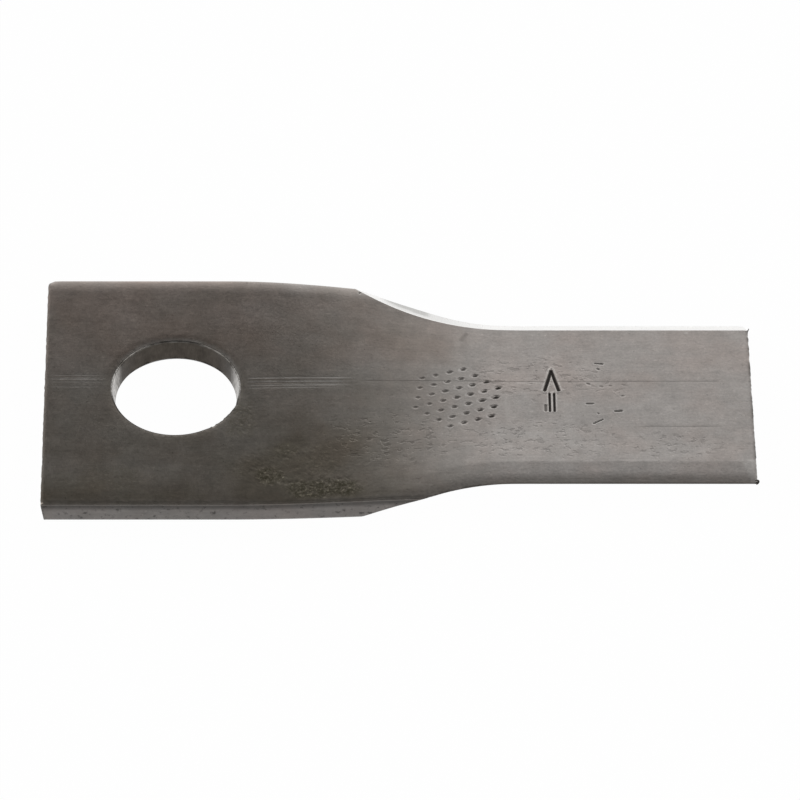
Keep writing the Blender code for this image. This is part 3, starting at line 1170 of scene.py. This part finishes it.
def rolled_steel(finish):
    """Dark mill scale: rolling streaks, blotches of colour, darkening lowered in strips as painted
    highlights, wavy pits, dull sides with painted shade, sooty marks.
    """
    material, tree, shader = new_steel("rolled_steel")
    blotches = grain(tree, 0.0075, 3)
    tints = grain(tree, 0.0028, 3)
    streaks = grain(tree, 0.0003, 3, stretch=(12, 1, 1))
    broad_streaks = grain(tree, 0.0014, 2, stretch=(8, 1, 1))
    smudges = grain(tree, 0.0022, 2, stretch=(1, 3, 1))
    fine = grain(tree, 0.00045, 5, roughness=0.7)
    specks = grain(tree, 0.00056, 3)
    wavy_pits = grain(tree, 0.00095, 3, stretch=(1.4, 1, 1), roughness=0.6)
    dashes = grain(tree, 0.00038, 2, stretch=(5, 1, 1))
    grit = grain(tree, 0.00036, 3, stretch=(1.2, 1, 1), roughness=0.6)
    dirt_grain = grain(tree, 0.00085, 4, roughness=0.7)
    scaled, peel, grime = kept(tree, "scaled"), kept(tree, "peel"), kept(tree, "grime")
    normal = wire(tree, "ShaderNodeTexCoord", {}).outputs["Normal"]
    upright = wire(tree, "ShaderNodeSeparateXYZ", {0: normal}).outputs["Z"]
    flat = remap(tree, calculate(tree, "ABSOLUTE", upright), 0.42, 0.85, 0.0, 1.0)

    warm = calculate(tree, "ADD", kept(tree, "warm"), remap(tree, blotches, 0.35, 0.65, -0.22, 0.22))
    colour = blend_colours(tree, warm, finish.scale_green, finish.scale_red)
    # Darkening tint, lowered in strips beside the long sides as painted highlights
    darkened = blend_colours(tree, product(tree, grime, flat), (1, 1, 1), finish.darkening_tint)
    colour = wire(tree, "ShaderNodeVectorMath", {0: colour, 1: darkened}, operation="MULTIPLY").outputs[0]

    crisp = remap(tree, grime, 0.0, 0.6, 1.0, 0.5)
    side_spots = remap(tree, dirt_grain, 0.56, 0.68, 1.0, 0.45)
    # Painted shade: the upper part of each long side darkens towards its top corner
    painted_side_shade = remap(tree, kept(tree, "height"), 0.66, 0.84, 1.03, 0.54)
    side = product(tree, side_spots, painted_side_shade, SIDE_DULLNESS_AND_SHADE)
    pitted = product(tree, remap(tree, wavy_pits, 0.56, 0.61, 0, 1), peel)
    where_darkened = remap(tree, grime, 0.05, 0.4, 0.3, 1.0)
    dashed = product(tree, remap(tree, dashes, 0.6, 0.72, 0, 1), peel, where_darkened)
    brightness = product(
        tree,
        vary(tree, tints, 0.93, 1.07),
        vary(tree, streaks, 0.96, 1.04),
        vary(tree, broad_streaks, 0.96, 1.04),
        vary(tree, smudges, 0.96, 1.04),
        calculate(tree, "ADD", product(tree, vary(tree, fine, -0.14, 0.14), crisp), 1.0),
        remap(tree, specks, 0.65, 0.73, 1.0, 1.22),
        remap(tree, specks, 0.34, 0.27, 1.0, 0.74),
        remap(tree, peel, 0.2, 1.0, 1.0, 1.05),
        remap(tree, pitted, 0, 1, 1.0, 0.82),
        remap(tree, dashed, 0, 1, 1.0, 0.74),
        calculate(tree, "MAXIMUM", flat, side),
    )
    colour = brighten(tree, colour, brightness)

    crumbs = remap(tree, dirt_grain, 0.44, 0.6, 0.98, 0.45)
    dirt = product(tree, scaled, crumbs, remap(tree, grit, 0.45, 0.6, 1.0, 0.6))
    gaps = remap(tree, dirt_grain, 0.44, 0.56, 0.15, 1.0)
    sparks = product(tree, scaled, gaps, remap(tree, grit, 0.58, 0.67, 0, 0.6))
    rubbed = product(tree, kept(tree, "rubbed"), remap(tree, tints, 0.4, 0.6, 0.3, 0.7))
    hollow = kept(tree, "stamped")
    layers = (
        (dirt, finish.dirt_colour),
        (sparks, finish.spark_colour),
        (rubbed, finish.rubbed_and_highlight_colour),
        (hollow, finish.soot_colour),
    )
    for share, layer in layers:
        colour = blend_colours(tree, share, colour, layer)
    dullness = calculate(tree, "MAXIMUM", dirt, hollow)
    dulled = remap(tree, dullness, 0, 1, finish.scale_roughness, 0.62)
    roughness = calculate(tree, "ADD", vary(tree, fine, -0.05, 0.05), dulled)
    feed(tree, shader, base_color=colour, roughness=roughness)

    relief = calculate(tree, "ADD", product(tree, streaks, 0.05), product(tree, fine, 0.3))
    hollows = calculate(tree, "ADD", product(tree, pitted, -0.5), product(tree, dashed, -0.2))
    crust = product(tree, grit, scaled, 0.45)
    relief = calculate(tree, "ADD", calculate(tree, "ADD", relief, hollows), crust)
    bump(tree, shader, relief, 40 * MICRON)
    return material


def ground_steel(finish):
    """Bright bevels with the fine lines of the grinding wheel across them, and its grey streak."""
    material, tree, shader = new_steel("ground_steel")
    lines = grain(tree, 0.00009, 3, stretch=(1, 40, 40))
    clouds = grain(tree, 0.004, 2)
    brightness = product(tree, vary(tree, lines, 0.9, 1.03), vary(tree, clouds, 0.97, 1.02))
    streaked = product(tree, kept(tree, "stamped"), vary(tree, lines, 0.64, 0.48))
    colour = blend_colours(tree, streaked, finish.ground_colour, finish.dirt_colour)
    roughness = vary(tree, lines, finish.ground_roughness - 0.05, finish.ground_roughness + 0.07)
    feed(tree, shader, base_color=brighten(tree, colour, brightness), roughness=roughness)
    bump(tree, shader, lines, 4 * MICRON)
    return material


def cut_steel(name, finish, colour, burnished_above, bright_places):
    """A wall drawn smooth by the tool above, torn and duller below, and bright in some places: rubbed, and on
    the hole's wall also a painted highlight.
    """
    material, tree, shader = new_steel(name)
    lines = grain(tree, 0.00016, 3, stretch=(1, 1, 14))
    torn_grain = grain(tree, 0.00045, 4)
    mottle = grain(tree, 0.0013, 3)
    place = wire(tree, "ShaderNodeTexCoord", {}).outputs["Object"]
    axes = wire(tree, "ShaderNodeSeparateXYZ", {0: place}).outputs
    ragged = calculate(tree, "ADD", axes["Z"], vary(tree, mottle, -0.0003, 0.0003))
    torn = remap(tree, ragged, burnished_above + 0.00015, burnished_above - 0.00015, 0.0, 1.0)
    brightness = product(
        tree,
        vary(tree, lines, 0.88, 1.12),
        vary(tree, mottle, 0.8, 1.2),
        remap(tree, torn, 0, 1, 1.0, 0.75),
    )
    base = brighten(tree, colour, brightness)
    base = blend_colours(tree, bright_places(tree, axes, lines), base, finish.rubbed_and_highlight_colour)
    feed(tree, shader, base_color=base, roughness=remap(tree, torn, 0, 1, finish.scale_roughness, 0.6))
    relief = calculate(tree, "ADD", product(tree, lines, 0.4), product(tree, torn_grain, torn, 2.0))
    bump(tree, shader, relief, 14 * MICRON)
    return material


def punched_steel(finish, sizes):
    """The hole's wall: grimy, and dark also as painted shade of the shadowed floor that it mirrors, but
    bright at its rim and towards both ends, where the bolt bears and where a painted highlight stands for the
    side lights' reflection.
    """
    radius = sizes.hole_diameter / 2

    def bright_places(tree, axes, lines):
        along = calculate(tree, "SUBTRACT", axes["X"], NODE_LOW.x + sizes.hole_to_butt)
        from_axis = calculate(tree, "ABSOLUTE", along)
        # Bright towards both ends, where the bolt bears, with a painted highlight standing for the side
        # lights' reflection
        bearing_and_highlight = product(
            tree,
            remap(tree, from_axis, radius * 0.86, radius * 0.98, 0, 1),
            remap(tree, axes["Y"], -0.0025, 0.0005, 0, 1),
            remap(tree, lines, 0.4, 0.6, 0.2, 0.75),
        )
        rim = product(
            tree,
            remap(tree, axes["Z"], FLAT_TOP - RIM_ROLL * 1.5, FLAT_TOP - RIM_ROLL * 0.6, 0, 1),
            remap(tree, axes["Y"], radius * 0.3, radius * 0.9, 0.07, 0.2),
            remap(tree, grain(tree, 0.0017, 3), 0.42, 0.6, 0.3, 1.0),
        )
        return calculate(tree, "MAXIMUM", bearing_and_highlight, rim)

    torn_up_to = FLAT_TOP - sizes.thickness + BREAKOUT_DEPTH
    # the wall's dark colour is partly painted shade
    return cut_steel("punched_steel", finish, finish.punched_colour_and_shade, torn_up_to, bright_places)


def sheared_steel(finish, sizes):
    """The sheared ends, with rubbed spots here and there."""

    def bright_places(tree, axes, lines):
        return remap(tree, grain(tree, 0.0021, 3), 0.6, 0.72, 0, 0.32)

    torn_up_to = FLAT_TOP - sizes.thickness * 0.4
    return cut_steel("sheared_steel", finish, finish.sheared_colour, torn_up_to, bright_places)


class MOWERBLADE_OT_finish_blade(bpy.types.Operator):
    """Makes the finished blade in place of its plain solid"""

    bl_idname = "mowerblade.finish_blade"
    bl_label = "Finish the blade"

    def execute(self, context):
        settings = context.scene.mower_blade
        sizes, finish = settings.sizes, settings.finish
        materials = [
            rolled_steel(finish),
            ground_steel(finish),
            punched_steel(finish, sizes),
            sheared_steel(finish, sizes),
        ]
        bm = cut_blank(sizes, materials)
        slice_grid(bm, sizes)
        for edge in bm.edges:
            edge.smooth = len(edge.link_faces) != 2 or edge.calc_face_angle() < SHARP_ANGLE
        for face in bm.faces:
            face.smooth = True
        refine(bm, sizes)
        wear(bm, sizes)
        tip_burrs(bm, sizes)
        twist_wing(bm, sizes)
        seat_in_frame(bm, sizes)
        bmesh.ops.triangulate(bm, faces=bm.faces, quad_method="SHORT_EDGE", ngon_method="BEAUTY")
        blade = new_object(bm, "finished_blade", materials)
        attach(blade, "root")
        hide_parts(NODE)
        return {"FINISHED"}


# Studio

FLOOR_SIZE = 12.0
FLOOR_COLOUR = (0.86, 0.86, 0.86)
FLOOR_WHITENING = 0.985
CAMERA_TARGET = Vector((0.000233, -0.000245, 0.0063))
LAMP_SIZE = 1.0
LAMP_DISTANCE = 1.6
LAMP_HEIGHT = math.radians(52)
# Height above the horizon in degrees, and share of the wall light that comes from there
WALL_FADE = ((0, 1.0), (28, 1.0), (33, 0.58), (37, 0.26), (45, 0.12), (60, 0.07), (90, 0.07))


def seen_by_eye_or_mirror(tree):
    """1 for the camera's own rays and for those that gloss or glass passes on."""
    path = wire(tree, "ShaderNodeLightPath", {}).outputs
    passed_on = calculate(tree, "MAXIMUM", path["Is Glossy Ray"], path["Is Transmission Ray"])
    return calculate(tree, "MAXIMUM", path["Is Camera Ray"], passed_on)


def floor_material():
    """Pale paper that the eye sees as white, but for the shadow on it."""
    material = bpy.data.materials.new("studio_floor")
    material.use_nodes = True
    tree = material.node_tree
    tree.nodes.clear()
    paper = wire(tree, "ShaderNodeBsdfDiffuse", {"Color": FLOOR_COLOUR}).outputs[0]
    white = wire(tree, "ShaderNodeEmission", {"Strength": 1.0}).outputs[0]
    share = calculate(tree, "MULTIPLY", seen_by_eye_or_mirror(tree), FLOOR_WHITENING)
    mixed = wire(tree, "ShaderNodeMixShader", {0: share, 1: paper, 2: white}).outputs[0]
    wire(tree, "ShaderNodeOutputMaterial", {"Surface": mixed})
    return material


def studio_world(studio):
    """Pale walls that fade into a dim ceiling. The camera itself sees white."""
    world = bpy.data.worlds.new("studio")
    bpy.context.scene.world = world
    world.use_nodes = True
    tree = world.node_tree
    tree.nodes.clear()
    way = wire(tree, "ShaderNodeTexCoord", {}).outputs["Generated"]
    upward = wire(tree, "ShaderNodeSeparateXYZ", {0: way}).outputs["Z"]
    height = calculate(tree, "ARCSINE", upward)
    ramp = wire(tree, "ShaderNodeValToRGB", {0: remap(tree, height, 0, math.pi / 2, 0, 1)})
    stops = ramp.color_ramp.elements
    for stop, (degrees, brightness) in zip(stops, (WALL_FADE[0], WALL_FADE[-1])):
        stop.position = degrees / 90
        stop.color = (brightness, brightness, brightness, 1.0)
    for degrees, brightness in WALL_FADE[1:-1]:
        stops.new(degrees / 90).color = (brightness, brightness, brightness, 1.0)
    light = calculate(tree, "MULTIPLY", ramp.outputs[0], studio.wall_light)
    camera_ray = wire(tree, "ShaderNodeLightPath", {}).outputs["Is Camera Ray"]
    strength = wire(tree, "ShaderNodeMix", {"Factor": camera_ray, "A": light, "B": 1.0}).outputs[0]
    background = wire(tree, "ShaderNodeBackground", {"Strength": strength}).outputs[0]
    wire(tree, "ShaderNodeOutputWorld", {"Surface": background})


def towards(height, turn):
    """The way from the blade to something at this height above the horizon, on the camera's side."""
    return Vector((math.sin(turn) * math.cos(height), -math.cos(turn) * math.cos(height), math.sin(height)))


class MOWERBLADE_OT_set_stage(bpy.types.Operator):
    """Lays the pale floor and sets the soft light and the camera"""

    bl_idname = "mowerblade.set_stage"
    bl_label = "Set the stage"

    def execute(self, context):
        studio = context.scene.mower_blade.studio
        context.scene.view_settings.view_transform = "Standard"
        bm = bmesh.new()
        bmesh.ops.create_grid(bm, x_segments=1, y_segments=1, size=FLOOR_SIZE / 2)
        bmesh.ops.translate(bm, vec=(0, 0, NODE_LOW.z), verts=bm.verts)
        new_object(bm, "studio_floor", [floor_material()])
        studio_world(studio)

        for name, turn in (("butt_end_light", -math.pi / 2), ("tip_light", math.pi / 2)):
            lamp = bpy.data.lights.new(name, "AREA")
            lamp.shape = "DISK"
            lamp.size = LAMP_SIZE
            lamp.energy = studio.side_power
            light = bpy.data.objects.new(name, lamp)
            way = towards(LAMP_HEIGHT, turn)
            light.location = way * LAMP_DISTANCE
            light.rotation_euler = way.to_track_quat("Z", "Y").to_euler()
            light.visible_camera = False
            context.scene.collection.objects.link(light)

        camera = bpy.data.objects.new("camera", bpy.data.cameras.new("camera"))
        camera.data.lens = studio.lens
        camera.data.clip_start = 0.01
        camera.data.clip_end = 100
        aim = Matrix.Rotation(studio.camera_turn, 4, "Z")
        aim @= Matrix.Rotation(math.pi / 2 - studio.camera_height, 4, "X")
        away = aim @ Vector((0, 0, studio.camera_distance))
        roll = Matrix.Rotation(studio.camera_roll, 4, "Z")
        camera.matrix_world = Matrix.Translation(CAMERA_TARGET + away) @ aim @ roll
        context.scene.collection.objects.link(camera)
        context.scene.camera = camera
        return {"FINISHED"}


class MOWERBLADE_PT_panel(bpy.types.Panel):
    bl_label = "Mower Blade"
    bl_idname = "MOWERBLADE_PT_panel"
    bl_space_type = "VIEW_3D"
    bl_region_type = "UI"
    bl_category = "Mower Blade"

    def draw(self, context):
        settings = context.scene.mower_blade
        for group in (settings.sizes, settings.finish, settings.studio):
            box = self.layout.box()
            for name in group.__annotations__:
                box.prop(group, name)
        self.layout.operator(MOWERBLADE_OT_finish_blade.bl_idname)
        self.layout.operator(MOWERBLADE_OT_set_stage.bl_idname)


CLASSES = (
    BladeSizes,
    BladeFinish,
    StudioSettings,
    MowerBladeSettings,
    MOWERBLADE_OT_finish_blade,
    MOWERBLADE_OT_set_stage,
    MOWERBLADE_PT_panel,
)


def register():
    for cls in CLASSES:
        bpy.utils.register_class(cls)
    bpy.types.Scene.mower_blade = PointerProperty(type=MowerBladeSettings)


def unregister():
    del bpy.types.Scene.mower_blade
    for cls in reversed(CLASSES):
        bpy.utils.unregister_class(cls)


def main():
    register()
    bpy.ops.mowerblade.finish_blade()
    bpy.ops.mowerblade.set_stage()


if __name__ == "__main__":
    main()
